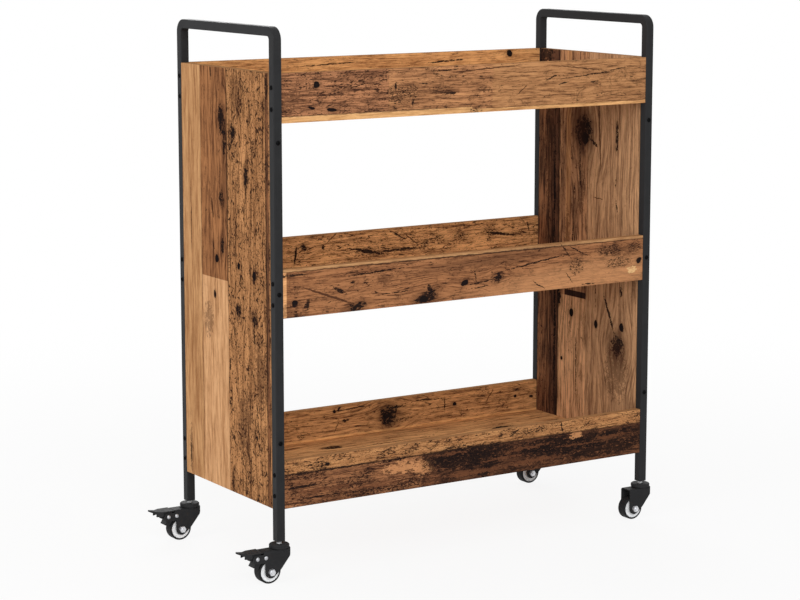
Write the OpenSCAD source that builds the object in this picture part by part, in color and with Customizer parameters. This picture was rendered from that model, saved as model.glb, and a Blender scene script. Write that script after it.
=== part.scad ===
// Kitchen cart on four casters.
// Two bent tube end frames carry the side panels, six rails and three tray shelves.
// X runs along the cart, with the braked casters at the -X end. Y runs from front to back, and Z is up.
// The origin is on the floor, under the middle of the whole cart with its pedals.

/* [Cart] */
// Width over the two end frames
cart_w = 750; // [500:10:1000]
// Depth over the front and back legs
cart_d = 324; // [250:2:420]
// Height of the handles above the floor
cart_h = 885; // [780:5:1000]

/* [End frames] */
// Side of the square tube
tube = 15; // [14.5:0.5:20]
// Wall of the tube
tube_wall = 1.2; // [0.8:0.1:1.5]
// Radius of the tube's long edges
tube_edge = 1.6; // [1.6:0.1:2.5]
// Radius inside the bends under the handle
bend_inner = 6; // [3:0.5:30]
// Rise of the handle's top above the side panel
handle_rise = 72; // [40:1:100]

/* [Boards] */
// Height of the side panels above the legs' lower ends
panel_lift = 52; // [30:1:80]
// Thickness of the side panels
panel_t = 15; // [12:0.5:18]
// Height of the front and back rails
rail_h = 78; // [60:1:90]
// Thickness of the rails
rail_t = 12; // [11:0.5:15]
// Thickness of the shelves
shelf_t = 12; // [12:0.5:16]
// Height of a shelf's upper face above the lower edge of its rails
shelf_rise = 21; // [19:0.5:30]

/* [Frame screws] */
// Diameter of the wood screws
screw_d = 4; // [3.5:0.5:5]
// Length of the wood screws under the head
screw_len = 38; // [30:1:45]
// Diameter of the screw heads
screw_head_d = 7.5; // [7:0.5:10]
// Height of the screw heads
screw_head_h = 2; // [1.5:0.1:3]
// Distance of the rail screws from the edges of a rail
rail_screw_inset = 22; // [12:1:25]
// Distance of the outer panel screws from the ends of a panel
panel_screw_inset = 108; // [90:1:140]

/* [Shelf fittings] */
// Diameter of the dowels
dowel_d = 6; // [5:0.5:7]
// Length of the dowels
dowel_len = 28; // [20:1:36]
// Distance of the outer dowels from the ends of a shelf
dowel_inset = 45; // [30:1:60]
// Diameter of the cam locks
cam_d = 12; // [10:0.5:15]
// Height of the cam locks
cam_h = 9; // [8.5:0.1:10]
// Distance from the shelf's long edge to the centre of a cam lock
cam_set = 24; // [20:1:34]
// Distance of the cam locks from the ends of a shelf
cam_inset = 100; // [75:1:150]
// Depth of the dowels and cam bolts in a rail
rail_bite = 9; // [6:0.5:9.5]

/* [Leg plugs] */
// Thickness of the plug's flange under the tube
plug_flange = 1.5; // [1:0.1:3]
// Length of the plug inside the tube
plug_len = 24; // [18:1:30]
// Diameter of the threaded bush in the plug
bush_d = 10.5; // [10:0.1:11]
// Length of the threaded bush
bush_len = 12; // [8:1:15]
// Diameter of the caster's threaded stem
stem_d = 8; // [6:0.5:8.5]
// Length of the stem inside the plug
stem_bite = 20; // [14:1:22]
// Length of the stem between the bearing cap and the plug
stem_gap = 4.5; // [1:0.5:8]

/* [Caster wheels] */
// Diameter of the wheel
wheel_d = 40; // [37:1:41]
// Width of the tyre
tyre_w = 18; // [14:0.5:19]
// Thickness of the tyre
tyre_t = 2.5; // [1.5:0.1:4]
// Radius of the tyre's shoulders
tyre_round = 1.8; // [0.8:0.1:4]
// Diameter of the axle bolt
axle_d = 6; // [5:0.5:8]
// Distance from the swivel axis back to the axle
trail = 22; // [20:0.5:23]

/* [Caster forks] */
// Height of the fork's top above the wheel
wheel_room = 14.4; // [13.6:0.2:18]
// Width over the fork's cheeks
fork_w = 26; // [24:0.5:30]
// Thickness of the fork's plate
fork_t = 1.8; // [1.2:0.1:2.2]
// Radius of the fork's bends along its top
fork_bend = 4; // [2.5:0.1:5]
// Radius of the fork's round nose about the swivel axis
nose_r = 18; // [17:0.5:20]
// Radius of the cheek's round end at the axle
cheek_end_r = 10; // [8:0.5:11]

/* [Swivel bearing] */
// Diameter of the bearing cap
cap_d = 33; // [31:0.5:35]
// Height of the bearing cap over the balls
cap_h = 3.9; // [3.6:0.1:4.1]
// Depth of the bearing cap's lip round the raised seat
cap_lip = 1.6; // [0.5:0.1:2]
// Diameter of the raised seat on the fork
seat_d = 27; // [26:0.25:29]
// Height of the raised seat on the fork
seat_h = 2.8; // [2.4:0.1:3]
// Diameter of the bearing balls
ball_d = 3.2; // [2.8:0.1:3.4]
// Number of bearing balls in a caster
ball_count = 14; // [8:1:16]
// Radius of the ball circle
ball_ring_r = 10; // [9:0.25:10.5]

/* [Brakes] */
// Depth of both brake pins below the fork's top
brake_pin_drop = 10.1; // [9.9:0.1:10.5]
// Distance from the axle back to the shoe's pin
shoe_pin_back = 9; // [8.5:0.25:10]
// Distance from the shoe's pin back to the pedal's pin
pin_spacing = 15.3; // [14.9:0.1:16]
// Diameter of the brake pins
brake_pin_d = 4; // [3:0.25:5]
// Radius of the fork's ear about the pedal's pin
ear_r = 8; // [7:0.25:8.2]
// Length of the pedal behind its pin
pedal_len = 32.7; // [28:0.1:40]
// Radius of the pedal's round tip
pedal_tip_r = 3.5; // [3:0.25:6]
// Rise of the pedal's tip over its flat part
pedal_tip_rise = 3.6; // [0:0.2:5]
// Thickness of the pedal's plate
pedal_t = 1.7; // [1.2:0.1:1.9]
// Width of the brake shoe
shoe_w = 17.4; // [14:0.2:17.8]
// Turn of the pedal from free to locked
pedal_travel = 20; // [10:1:20]
// Turn of the brake shoe from free to locked
shoe_travel = 6.5; // [3:0.25:6.5]

/* [Clearances] */
// Gap round a screw or stem in its thread
thread_gap = 0.05; // [0.02:0.01:0.1]
// Radial gap of a running fit
run_gap = 0.05; // [0.03:0.01:0.1]
// Gap round a screw where it passes through the tube
pass_gap = 0.3; // [0.2:0.05:0.5]
// Gap between parts that move past each other
free_gap = 0.4; // [0.3:0.05:0.5]
// Gap between a leg plug and the inside of its tube
plug_gap = 0.1; // [0.05:0.05:0.2]

/* [Hidden] */
$fn = 48;
cut = 1;
powder_black = "#2f3032";
wood = "#9c6b42";
wood_edge = "#8a5c38";
black_plastic = "#1f1f21";
zinc = "#c9ccd0";
rim_grey = "#dfe1e4";

// Places of the legs and of the caster axes
leg_x = cart_w / 2 - tube / 2;
leg_y = cart_d / 2 - tube / 2;
tube_hole = tube - 2 * tube_wall;

// Heights of the caster's pieces
wheel_r = wheel_d / 2;
fork_top = wheel_d + wheel_room;
seat_top = fork_top + seat_h;
cap_bottom = seat_top + free_gap;
cap_top = cap_bottom + cap_h;
leg_end = cap_top + stem_gap;
tube_end = leg_end + plug_flange;

// Heights of the boards
panel_top = cart_h - handle_rise;
panel_bottom = leg_end + panel_lift;
panel_h = panel_top - panel_bottom;
rail_pitch = (panel_h - rail_h) / 2;
function rail_bottom(level) = panel_bottom + level * rail_pitch;
function shelf_top(level) = rail_bottom(level) + shelf_rise;

// Faces of the boards, each board centred on the tube that carries it
rail_len = cart_w - 2 * tube;
panel_w = cart_d - 2 * tube;
shelf_len = cart_w - 2 * max(tube, (tube + panel_t) / 2);
shelf_w = cart_d - tube - rail_t;
shelf_edge_y = shelf_w / 2;

// Thread and shaft of the cam bolts, and the bore in the shelf that the shaft slides in
cam_thread_d = 5;
cam_shaft_d = 4.4;
cam_bore_d = cam_shaft_d + 1.2;

// Places along the shelf of the fittings, and of the screws up the legs
cam_x = shelf_len / 2 - cam_inset;
dowel_x = shelf_len / 2 - dowel_inset;
levels = [0, 1, 2];
ends = [-1, 1];
function rail_screw_heights(level) =
    [rail_bottom(level) + rail_screw_inset, rail_bottom(level) + rail_h - rail_screw_inset];
panel_screw_heights =
    [panel_bottom + panel_screw_inset, (panel_bottom + panel_top) / 2, panel_top - panel_screw_inset];

// Wheel and fork, with s measured backwards from the swivel axis
core_r = wheel_r - tyre_t;
fork_gap = fork_w - 2 * fork_t;
hub_w = fork_gap - free_gap;
fork_back = trail + cheek_end_r;
nose_h = 5.4;
nose_foot_z = fork_top - nose_h;
knee_s = 3.5;
knee_rise = 2.5;
knee_z = wheel_r + knee_rise;
skirt_gap = 0.6;
skirt_h = 4;
skirt_z = wheel_d + skirt_gap;
ball_lift = 0.15;
ball_z = (seat_top + cap_bottom) / 2 + ball_lift;
race_w = ball_d + 2 * free_gap;

// Brake linkage
brake_pin_z = fork_top - brake_pin_drop;
shoe_pin_s = trail + shoe_pin_back;
pedal_pin_s = shoe_pin_s + pin_spacing;
pedal_reach = pedal_pin_s + pedal_len;
plate_step = 0.2;
plate_top = fork_top + plate_step;
plate_under = plate_top - pedal_t;
pedal_front = 10;
pedal_front_s = pedal_pin_s - pedal_front;
pedal_room = 1.3;
brake_fork_back = pedal_front_s - pedal_room;
cheek_out = fork_gap / 2 - free_gap;
cheek_in = cheek_out - pedal_t;

// Cam bar of the pedal, and where it stands from the pedal's pin
lobe_r = 2.2;
lobe_back = 3.1;
lobe_drop = 4.7;
lobe = [pedal_pin_s + lobe_back, brake_pin_z - lobe_drop];

// Head of a bolt, its nut and the bolt's end beyond it
hex_d = 11.5;
head_h = 4;
nut_h = 6;
bolt_end = 1.5;
rivet_head_d = 6.6;
rivet_head_h = 1.6;

// Shift that puts the origin under the middle of the whole cart
reach_right = max(nose_r, tube / 2 + screw_head_h);
reach_front = max(cap_d / 2, fork_w / 2 + nut_h + bolt_end);
reach_back = max(cap_d / 2, fork_w / 2 + head_h);
cart_shift = [(pedal_reach - reach_right) / 2, (reach_front - reach_back) / 2, 0];

module rounded_square(side, radius) {
    square([side, side - 2 * radius], center = true);
    square([side - 2 * radius, side], center = true);
    for (x = ends, y = ends) {
        translate([x * (side / 2 - radius), y * (side / 2 - radius)]) circle(radius);
    }
}

module tube_section() {
    difference() {
        rounded_square(tube, tube_edge);
        rounded_square(tube_hole, tube_edge - tube_wall);
    }
}

// One end frame: two legs, two bends and the handle, all from one tube
module end_frame() {
    bend_r = bend_inner + tube / 2;
    bend_y = leg_y - bend_r;
    bend_z = cart_h - tube / 2 - bend_r;
    difference() {
        union() {
            for (side = ends) {
                translate([0, side * leg_y, tube_end]) linear_extrude(bend_z - tube_end) tube_section();
            }
            for (side = [0, 1]) {
                mirror([0, side, 0]) translate([0, bend_y, bend_z]) rotate([90, 0, 90])
                    rotate_extrude(angle = 90) translate([bend_r, 0]) tube_section();
            }
            translate([0, -bend_y, cart_h - tube / 2]) rotate([-90, 0, 0])
                linear_extrude(2 * bend_y) tube_section();
        }
        for (side = ends, level = levels, z = rail_screw_heights(level)) {
            translate([0, side * leg_y, z]) rotate([0, 90, 0])
                cylinder(h = tube + 2 * cut, d = screw_d + 2 * pass_gap, center = true);
        }
        for (side = ends, z = panel_screw_heights) {
            translate([0, side * leg_y, z]) rotate([90, 0, 0])
                cylinder(h = tube + 2 * cut, d = screw_d + 2 * pass_gap, center = true);
        }
    }
}

module left_frame() {
    color(powder_black) translate([-leg_x, 0, 0]) end_frame();
}

module right_frame() {
    color(powder_black) translate([leg_x, 0, 0]) mirror([1, 0, 0]) end_frame();
}

// Hole for the threaded part of a screw, from the face of a board inwards
module pilot_hole() {
    depth = screw_len - tube + cut;
    translate([0, 0, -depth]) cylinder(h = depth + cut, d = screw_d + 2 * thread_gap);
}

module side_panel(side) {
    color(wood) difference() {
        translate([side * leg_x - panel_t / 2, -panel_w / 2, panel_bottom]) cube([panel_t, panel_w, panel_h]);
        for (face = ends, z = panel_screw_heights) {
            translate([side * leg_x, face * panel_w / 2, z]) rotate([-face * 90, 0, 0]) pilot_hole();
        }
    }
}

// Rail between two legs, with the holes of the screws, dowels and cam bolts
module rail(level, side) {
    mid_z = shelf_top(level) - shelf_t / 2;
    color(wood_edge) difference() {
        translate([-rail_len / 2, side * leg_y - rail_t / 2, rail_bottom(level)]) cube([rail_len, rail_t, rail_h]);
        for (end = ends, z = rail_screw_heights(level)) {
            translate([end * rail_len / 2, side * leg_y, z]) rotate([0, end * 90, 0]) pilot_hole();
        }
        for (x = [-dowel_x, 0, dowel_x]) {
            edge_hole(x, side, mid_z, dowel_d + 2 * thread_gap, -cut, rail_bite + cut / 2);
        }
        for (x = [-cam_x, cam_x]) {
            edge_hole(x, side, mid_z, cam_thread_d + 2 * thread_gap, -cut, rail_bite + cut / 2);
        }
    }
}

// Round hole along Y, measured from the joint between shelf and rail, towards the rail
module edge_hole(x, side, z, d, from, to) {
    translate([x, side * (shelf_edge_y + from), z]) rotate([-side * 90, 0, 0]) cylinder(h = to - from, d = d);
}

// Tray shelf, with pockets for its cam locks in the lower face
module shelf(level) {
    mid_z = shelf_top(level) - shelf_t / 2;
    under_z = shelf_top(level) - shelf_t;
    color(wood) difference() {
        translate([-shelf_len / 2, -shelf_w / 2, under_z]) cube([shelf_len, shelf_w, shelf_t]);
        for (side = ends) {
            for (x = [-dowel_x, 0, dowel_x]) {
                edge_hole(x, side, mid_z, dowel_d + 2 * thread_gap, rail_bite - dowel_len - cut, cut);
            }
            for (x = [-cam_x, cam_x]) {
                edge_hole(x, side, mid_z, cam_bore_d, -cam_set, cut);
                translate([x, side * (shelf_edge_y - cam_set), under_z - cut])
                    cylinder(h = cam_h + free_gap / 2 + cut, d = cam_d + 2 * thread_gap);
            }
        }
    }
}

// Wood screw along +Z with its head above zero
module wood_screw() {
    tip = 1.5 * screw_d;
    rim_h = 0.4 * screw_head_h;
    shoulder = [0.36 * screw_head_d, 0.85 * screw_head_h];
    crown_r = 0.22 * screw_head_d;
    slot = [0.9, 0.55 * screw_head_d, 1.6];
    difference() {
        rotate_extrude() {
            polygon([
                [0, -screw_len], [screw_d / 2, tip - screw_len], [screw_d / 2, 0],
                [screw_head_d / 2, 0], [screw_head_d / 2, rim_h],
                shoulder, [crown_r, screw_head_h], [0, screw_head_h]
            ]);
        }
        for (turn = [0, 90]) {
            rotate([0, 0, turn]) translate([0, 0, screw_head_h]) cube(slot, center = true);
        }
    }
}

module rail_screws() {
    color(black_plastic) for (end = ends, side = ends, level = levels, z = rail_screw_heights(level)) {
        translate([end * cart_w / 2, side * leg_y, z]) rotate([0, end * 90, 0]) wood_screw();
    }
}

module panel_screws() {
    color(black_plastic) for (end = ends, side = ends, z = panel_screw_heights) {
        translate([end * leg_x, side * cart_d / 2, z]) rotate([-side * 90, 0, 0]) wood_screw();
    }
}

// Places a fitting at the joint between shelf and rail, with +Z towards the rail
module at_edge(x, side, level) {
    translate([x, side * shelf_edge_y, shelf_top(level) - shelf_t / 2]) rotate([-side * 90, 0, 0]) children();
}

module dowels() {
    chamfer = 1;
    color("burlywood") for (x = [-dowel_x, 0, dowel_x], side = ends, level = levels) {
        at_edge(x, side, level) translate([0, 0, rail_bite - dowel_len]) rotate_extrude() {
            polygon([
                [0, 0], [dowel_d / 2 - chamfer, 0], [dowel_d / 2, chamfer],
                [dowel_d / 2, dowel_len - chamfer], [dowel_d / 2 - chamfer, dowel_len], [0, dowel_len]
            ]);
        }
    }
}

// Bolt screwed into the rail, with a neck and a head that the cam lock pulls on
module cam_bolts() {
    head_r = 2.6;
    neck_r = 1.4;
    head_len = 2.4;
    neck_len = 3.2;
    color(zinc) for (x = [-cam_x, cam_x], side = ends, level = levels) {
        at_edge(x, side, level) rotate_extrude() {
            polygon([
                [0, -cam_set], [head_r, -cam_set], [head_r, head_len - cam_set], [neck_r, head_len - cam_set],
                [neck_r, head_len + neck_len - cam_set], [cam_shaft_d / 2, head_len + neck_len - cam_set],
                [cam_shaft_d / 2, 0], [cam_thread_d / 2, 0], [cam_thread_d / 2, rail_bite], [0, rail_bite]
            ]);
        }
    }
}

// Cam lock in the shelf's lower face, hollowed for the bolt's head and slotted for a driver
module cam_locks() {
    slot = [cam_d * 0.7, 1.2, 3];
    hollow_d = 6.2;
    hollow_back = 1;
    color(zinc) for (x = [-cam_x, cam_x], side = ends, level = levels) {
        difference() {
            translate([x, side * (shelf_edge_y - cam_set), shelf_top(level) - shelf_t]) {
                difference() {
                    cylinder(h = cam_h, d = cam_d);
                    cube(slot, center = true);
                }
            }
            edge_hole(x, side, shelf_top(level) - shelf_t / 2, hollow_d, -cam_set - hollow_back, cam_d - cam_set);
        }
    }
}

module at_legs() {
    for (x = ends, y = ends) {
        translate([x * leg_x, y * leg_y, 0]) children();
    }
}

// Plastic plug that closes the leg and holds the threaded bush
module leg_plugs() {
    body = tube_hole - 2 * plug_gap;
    color(black_plastic) at_legs() difference() {
        union() {
            translate([0, 0, leg_end]) linear_extrude(plug_flange) rounded_square(tube, tube_edge);
            translate([0, 0, tube_end]) linear_extrude(plug_len) rounded_square(body, tube_edge - tube_wall);
        }
        translate([0, 0, leg_end - cut]) cylinder(h = plug_flange + plug_len + 2 * cut, d = stem_d + 2 * thread_gap);
        translate([0, 0, tube_end]) cylinder(h = bush_len, d = bush_d);
    }
}

module plug_bushes() {
    color(zinc) at_legs() translate([0, 0, tube_end]) difference() {
        cylinder(h = bush_len, d = bush_d);
        translate([0, 0, -cut]) cylinder(h = bush_len + 2 * cut, d = stem_d + 2 * thread_gap);
    }
}

module bearing_balls() {
    color(zinc) at_legs() for (i = [0 : ball_count - 1]) {
        rotate([0, 0, i * 360 / ball_count]) translate([ball_ring_r, 0, ball_z]) sphere(d = ball_d);
    }
}

// Threaded stem, riveted under the fork's top plate
module stem() {
    head_top = fork_top - fork_t - free_gap;
    head_low = head_top - 2;
    head_r = 6.5;
    stem_top = leg_end + stem_bite;
    chamfer = 1;
    color(zinc) rotate_extrude() {
        polygon([
            [0, head_low], [head_r - chamfer, head_low], [head_r, head_low + chamfer],
            [head_r, head_top], [stem_d / 2, head_top], [stem_d / 2, stem_top - chamfer],
            [stem_d / 2 - chamfer, stem_top], [0, stem_top]
        ]);
    }
}

// Upper race of the swivel bearing, pressed on the stem
module bearing_cap() {
    cap_r = cap_d / 2;
    lip_r = seat_d / 2 + free_gap;
    lip_z = cap_bottom - cap_lip;
    chamfer = 1.4;
    race_roof = ball_z + ball_d / 2 + run_gap;
    color(black_plastic) rotate_extrude() difference() {
        polygon([
            [stem_d / 2, cap_bottom], [lip_r, cap_bottom], [lip_r, lip_z], [cap_r, lip_z],
            [cap_r, cap_top - chamfer], [cap_r - chamfer, cap_top], [stem_d / 2, cap_top]
        ]);
        translate([ball_ring_r - race_w / 2, cap_bottom - cut]) square([race_w, race_roof - cap_bottom + cut]);
    }
}

// Extrudes a side view, drawn as distance behind the swivel axis and height, to a width across the caster
module across(width) {
    mirror([1, 0, 0]) rotate([90, 0, 0]) linear_extrude(width, center = true) children();
}

function tangent_angle(point, centre, radius) =
    atan2(point[1] - centre[1], point[0] - centre[0]) + acos(radius / norm(point - centre));

// Side view of a fork cheek: nose, slanted front edge and a round end about the axle
module cheek_outline(back) {
    axle = [trail, wheel_r];
    knee = [knee_s, knee_z];
    touch_angle = tangent_angle(knee, axle, cheek_end_r);
    translate(axle) circle(cheek_end_r);
    polygon([
        [back, fork_top], [-nose_r, fork_top], [-nose_r, nose_foot_z],
        knee, axle + cheek_end_r * [cos(touch_angle), sin(touch_angle)], axle,
        [fork_back, wheel_r], [fork_back, brake_pin_z - ear_r], [back, brake_pin_z - ear_r]
    ]);
}

// Side view of the ears that carry the brake, cut off level with the start of the fork's bends
module ear_outline() {
    intersection() {
        union() {
            translate([pedal_pin_s, brake_pin_z]) circle(ear_r);
            translate([trail, brake_pin_z - ear_r]) square([pedal_pin_s - trail, 2 * ear_r]);
        }
        square([pedal_reach, fork_top - fork_bend]);
    }
}

// Top view of the fork: a parallel channel that ends in a round nose
module fork_plan(radius, width) {
    intersection() {
        union() {
            circle(radius);
            translate([-pedal_reach, -width / 2]) square([pedal_reach, width]);
        }
        translate([-pedal_reach, -width / 2]) square([2 * pedal_reach, width]);
    }
}

// End view of the fork with bent top edges, or of its inner face when inset by the plate's thickness
module fork_end_view(inset) {
    half_w = fork_w / 2 - inset;
    bend = fork_bend - inset;
    straight = fork_w / 2 - fork_bend;
    translate([-half_w, -cut]) square([2 * half_w, fork_top - fork_bend + cut]);
    translate([-straight, 0]) square([2 * straight, fork_top - inset]);
    for (side = ends) {
        translate([side * straight, fork_top - fork_bend]) circle(bend);
    }
}

// Solid along the caster with the fork's end view
module along_fork(inset) {
    translate([-2 * pedal_reach, 0, 0]) rotate([90, 0, 90]) linear_extrude(4 * pedal_reach) fork_end_view(inset);
}

module fork(braked) {
    back = braked ? brake_fork_back : fork_back;
    color(powder_black) difference() {
        union() {
            intersection() {
                across(fork_w) {
                    cheek_outline(back);
                    if (braked) {
                        ear_outline();
                    }
                }
                linear_extrude(fork_top) fork_plan(nose_r, fork_w);
                along_fork(0);
            }
            translate([0, 0, fork_top - fork_t]) cylinder(h = seat_h + fork_t, d = seat_d);
        }
        fork_hollow();
        translate([0, 0, fork_top - fork_t - cut]) cylinder(h = fork_t + seat_h + 2 * cut, d = stem_d + 2 * run_gap);
        fork_race();
        fork_bore(trail, wheel_r, axle_d);
        if (braked) {
            fork_bore(shoe_pin_s, brake_pin_z, brake_pin_d);
            fork_bore(pedal_pin_s, brake_pin_z, brake_pin_d);
        }
    }
}

// Room between the cheeks, closed in front only by the skirt under the nose
module fork_hollow() {
    roof = fork_top - fork_t;
    front = nose_r - fork_t;
    slope = (nose_r + knee_s) / (nose_foot_z - knee_z);
    intersection() {
        across(fork_gap) {
            translate([-2 * nose_r, -cut]) square([2 * nose_r + pedal_reach, skirt_z + cut]);
            polygon([
                [-front, roof], [-front, nose_foot_z], [-front + slope * (nose_foot_z - skirt_z), skirt_z],
                [pedal_reach, skirt_z], [pedal_reach, roof]
            ]);
        }
        linear_extrude(fork_top) fork_plan(nose_r - fork_t, fork_gap);
        along_fork(fork_t);
    }
    across(fork_gap) translate([-2 * nose_r, -cut]) square([4 * nose_r, skirt_z - skirt_h + cut]);
}

// Ring groove for the balls in the fork's raised seat
module fork_race() {
    floor_z = ball_z - ball_d / 2 - run_gap;
    rotate_extrude() translate([ball_ring_r - race_w / 2, floor_z]) square([race_w, seat_top - floor_z + cut]);
}

module fork_bore(s, z, d) {
    translate([-s, 0, z]) rotate([90, 0, 0]) cylinder(h = 2 * fork_w, d = d, center = true);
}

module at_axle() {
    translate([-trail, 0, wheel_r]) rotate([90, 0, 0]) children();
}

module hex(height) {
    cylinder(h = height, d = hex_d, $fn = 6);
}

// Axle bolt with its head behind the fork and its end standing out of the nut in front
module axle_bolt() {
    color(zinc) at_axle() {
        translate([0, 0, -fork_w / 2 - cut]) cylinder(h = fork_w + nut_h + bolt_end + cut, d = axle_d);
        translate([0, 0, -fork_w / 2 - head_h]) hex(head_h);
    }
}

// Lock nut: a hexagon with a round collar
module axle_nut() {
    collar_d = 0.8 * hex_d;
    collar_h = 1.2;
    color(zinc) at_axle() translate([0, 0, fork_w / 2]) difference() {
        union() {
            hex(nut_h - collar_h);
            cylinder(h = nut_h, d = collar_d);
        }
        translate([0, 0, -cut]) cylinder(h = nut_h + 2 * cut, d = axle_d + 2 * thread_gap);
    }
}

// Moulded wheel core: a rim, a dished web and a long hub that spaces the cheeks
module wheel_core() {
    rim_step = 0.3;
    dish_depth = 1.2;
    rim_t = 2.2;
    draft = 0.6;
    bore_r = axle_d / 2 + run_gap;
    hub_r = 5.6;
    rim_half = tyre_w / 2 - rim_step;
    web_half = rim_half - dish_depth;
    dish_r = core_r - rim_t;
    color(rim_grey) at_axle() rotate_extrude() {
        polygon([
            [bore_r, -hub_w / 2], [hub_r, -hub_w / 2], [hub_r + draft, -web_half], [dish_r, -web_half],
            [dish_r + draft, -rim_half], [core_r, -rim_half], [core_r, rim_half], [dish_r + draft, rim_half],
            [dish_r, web_half], [hub_r + draft, web_half], [hub_r, hub_w / 2], [bore_r, hub_w / 2]
        ]);
    }
}

module tyre() {
    color(black_plastic) at_axle() rotate_extrude() intersection() {
        translate([core_r, -tyre_w / 2]) square([tyre_t, tyre_w]);
        union() {
            translate([0, -tyre_w / 2]) square([wheel_r - tyre_round, tyre_w]);
            translate([0, tyre_round - tyre_w / 2]) square([wheel_r, tyre_w - 2 * tyre_round]);
            for (side = ends) {
                translate([wheel_r - tyre_round, side * (tyre_w / 2 - tyre_round)]) circle(tyre_round);
            }
        }
    }
}

// Pin with a domed head outside each cheek
module brake_pin(s) {
    color(zinc) translate([-s, 0, brake_pin_z]) rotate([90, 0, 0]) rotate_extrude() {
        dome_r = (pow(rivet_head_d / 2, 2) + pow(rivet_head_h, 2)) / (2 * rivet_head_h);
        sink = rivet_head_h / 4;
        translate([0, -fork_w / 2 - sink]) square([brake_pin_d / 2, fork_w + 2 * sink]);
        for (side = [0, 1]) {
            mirror([0, side]) intersection() {
                translate([0, fork_w / 2 + rivet_head_h - dome_r]) circle(dome_r);
                translate([0, fork_w / 2]) square([rivet_head_d, rivet_head_h]);
            }
        }
    }
}

// Top view of the pedal, or of its hollow when inset by the plate's thickness
module pedal_plan(inset) {
    taper_s = pedal_pin_s + ear_r;
    tip_s = pedal_reach - pedal_tip_r;
    root_w = fork_w / 2 - inset;
    tip_w = pedal_tip_r - inset;
    front_s = pedal_front_s - 2 * inset;
    mirror([1, 0]) {
        translate([tip_s, 0]) circle(tip_w);
        polygon([
            [front_s, -root_w], [taper_s, -root_w], [tip_s, -tip_w],
            [tip_s, tip_w], [taper_s, root_w], [front_s, root_w]
        ]);
    }
}

// Brake pedal: a pressed plate with an upturned tip, side flanges, cheeks on the pin and a cam bar between them
module pedal() {
    cheek_r = 6.6;
    ear_room = 1.7;
    upturn_len = 15;
    upturn_s = pedal_reach - upturn_len;
    tip_len = 12.5;
    tip_thinning = 0.6;
    flange_s = [pedal_pin_s + ear_r + ear_room, pedal_reach - tip_len];
    flange_low = brake_pin_z + 1.5;
    flange_end = plate_under - 2.5;
    color(powder_black) difference() {
        union() {
            difference() {
                intersection() {
                    translate([0, 0, flange_low]) linear_extrude(pedal_reach) pedal_plan(0);
                    across(2 * fork_w) polygon([
                        [pedal_front_s, plate_top], [upturn_s, plate_top], [pedal_reach, plate_top + pedal_tip_rise],
                        [pedal_reach, plate_under + pedal_tip_rise - tip_thinning], [flange_s[1], flange_end],
                        [flange_s[1], flange_low], [flange_s[0], flange_low],
                        [flange_s[0], plate_under], [pedal_front_s, plate_under]
                    ]);
                }
                intersection() {
                    linear_extrude(2 * pedal_reach) pedal_plan(pedal_t);
                    across(2 * fork_w) polygon([
                        [0, 0], [0, plate_under], [upturn_s, plate_under],
                        [pedal_reach, plate_under + pedal_tip_rise], [pedal_reach, 0]
                    ]);
                }
            }
            for (side = ends) {
                translate([0, side * (cheek_in + pedal_t / 2), 0]) across(pedal_t) {
                    translate([pedal_pin_s, brake_pin_z]) circle(cheek_r);
                    translate([pedal_pin_s - cheek_r, brake_pin_z])
                        square([2 * cheek_r, plate_under - brake_pin_z + pedal_t / 2]);
                    translate([pedal_pin_s, flange_low])
                        square([flange_s[0] + pedal_t - pedal_pin_s, plate_under - flange_low + pedal_t / 2]);
                }
            }
            across(2 * cheek_in + pedal_t) translate(lobe) circle(lobe_r);
        }
        fork_bore(pedal_pin_s, brake_pin_z, brake_pin_d + 2 * run_gap);
    }
}

// Brake shoe: its hollow face meets the tyre when the pedal's cam bar has turned it down
module brake_shoe() {
    ring_r = 4.5;
    top_end = [7, 3.2];
    back_end = [15, -4.3];
    heel = [21, -14.3];
    toe = [10, -19.8];
    throat = [0, -8];
    pin = [shoe_pin_s, brake_pin_z];
    axle = [trail, wheel_r];
    color(black_plastic) difference() {
        union() {
            across(shoe_w) translate(pin) circle(ring_r);
            across(shoe_w) translate(pin)
                polygon([[0, 0], [0, ring_r], top_end, back_end, heel, toe, throat]);
        }
        across(2 * shoe_w) translate(pin) rotate(shoe_travel) translate(axle - pin) circle(wheel_r + free_gap);
        fork_bore(shoe_pin_s, brake_pin_z, brake_pin_d + 2 * run_gap);
    }
}

// Places of the four casters
module front_left() {
    translate([-leg_x, -leg_y, 0]) children();
}
module back_left() {
    translate([-leg_x, leg_y, 0]) children();
}
module front_right() {
    translate([leg_x, -leg_y, 0]) children();
}
module back_right() {
    translate([leg_x, leg_y, 0]) children();
}

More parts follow.
